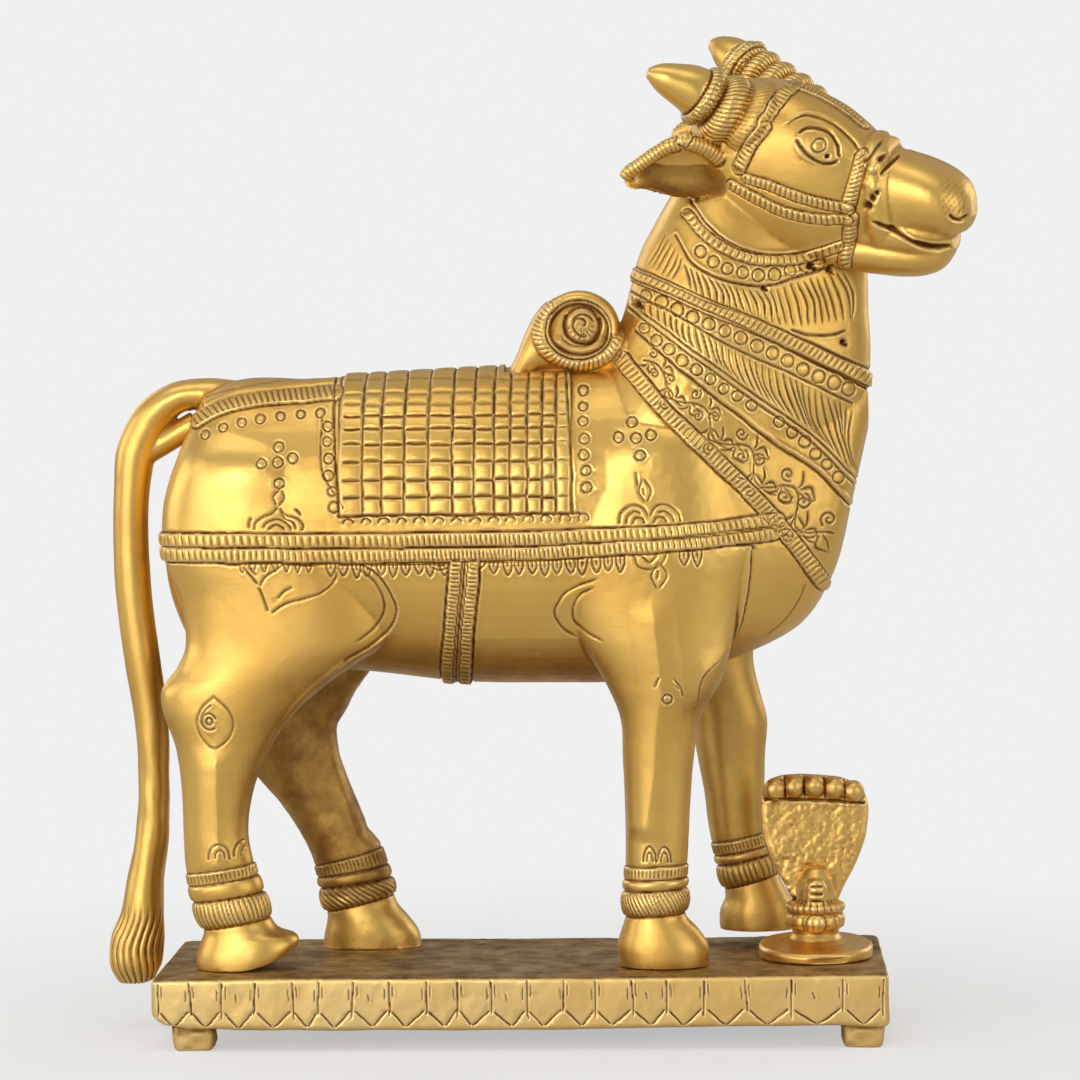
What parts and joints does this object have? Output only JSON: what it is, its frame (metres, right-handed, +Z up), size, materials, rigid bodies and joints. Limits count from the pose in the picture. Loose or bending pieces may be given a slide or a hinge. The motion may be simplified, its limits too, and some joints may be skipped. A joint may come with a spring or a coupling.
{
  "type": "nandi bull figure",
  "caption": "Cast brass nandi bull in full trappings, standing on a petalled plinth before a small linga under a cobra hood; a free-standing shrine ornament.",
  "frame": {"origin": "middle of the work's outer box, on the surface that its four plinth feet stand on", "axes": "+X along the bull, its head end positive; +Y to the bull's left side; +Z up"},
  "size_m": [0.234, 0.072, 0.2657],
  "materials": {
    "bull_brass": "polished yellow brass, darker orange-brown in the recesses",
    "plinth_brass": "satin brass with a dark brown toned top",
    "shrine_brass": "cast and hand-rubbed brass, rough on the hood"
  },
  "bodies": {
    "root": {"nandi_bull": "bull_brass", "plinth": "plinth_brass", "naga_lingam": "shrine_brass"}
  },
  "joints": []
}
